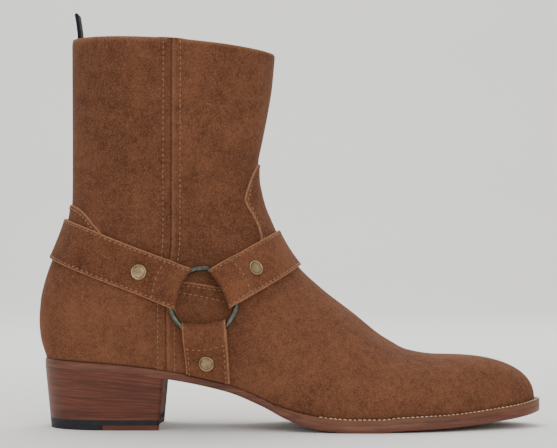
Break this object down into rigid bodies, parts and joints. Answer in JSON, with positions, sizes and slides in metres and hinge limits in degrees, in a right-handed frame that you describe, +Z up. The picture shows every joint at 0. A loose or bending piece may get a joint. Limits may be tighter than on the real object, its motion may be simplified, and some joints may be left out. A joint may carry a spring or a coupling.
{
  "type": "harness boot",
  "caption": "Ankle-high suede harness boot with straps held by round wire rings, a stacked block heel, a welted leather sole and a pull loop at the back of the collar.",
  "frame": {"origin": "on the floor, under the middle of the heel's rubber top piece, on the heel's centre line", "axes": "+X points to the toe, +Y to the inner side of the foot, +Z up"},
  "size_m": [0.2997, 0.0992, 0.2466],
  "materials": {
    "suede": "brushed rust-brown suede with a short nap",
    "strap_suede": "suede straps with pale raw edges",
    "board": "natural tan insole leather",
    "welt_leather": "reddish brown welt with cream stitches",
    "sole_leather": "polished reddish brown sole leather",
    "lift_leather": "stacked, waxed and polished leather lifts",
    "rubber": "matt blue-black rubber",
    "tape": "dark grey woven tape",
    "ring_metal": "aged gunmetal",
    "rivet_metal": "antique brass"
  },
  "bodies": {
    "root": {"upper": "suede", "pull_loop": "tape", "insole": "board", "welt": "welt_leather", "outsole": "sole_leather", "heel_lift_1": "lift_leather", "heel_lift_2": "lift_leather", "heel_lift_3": "lift_leather", "heel_lift_4": "lift_leather", "heel_lift_5": "lift_leather", "heel_lift_6": "lift_leather", "heel_lift_7": "lift_leather", "heel_rubber_layer": "rubber", "top_piece_rubber": "rubber", "top_piece_leather": "lift_leather", "strap_back": "strap_suede", "strap_front": "strap_suede", "strap_lower_outer": "strap_suede", "strap_lower_inner": "strap_suede", "ring_outer": "ring_metal", "ring_inner": "ring_metal", "rivet_back_outer": "rivet_metal", "rivet_back_inner": "rivet_metal", "rivet_front_outer": "rivet_metal", "rivet_front_inner": "rivet_metal", "rivet_lower_outer": "rivet_metal", "rivet_lower_inner": "rivet_metal"}
  },
  "joints": []
}
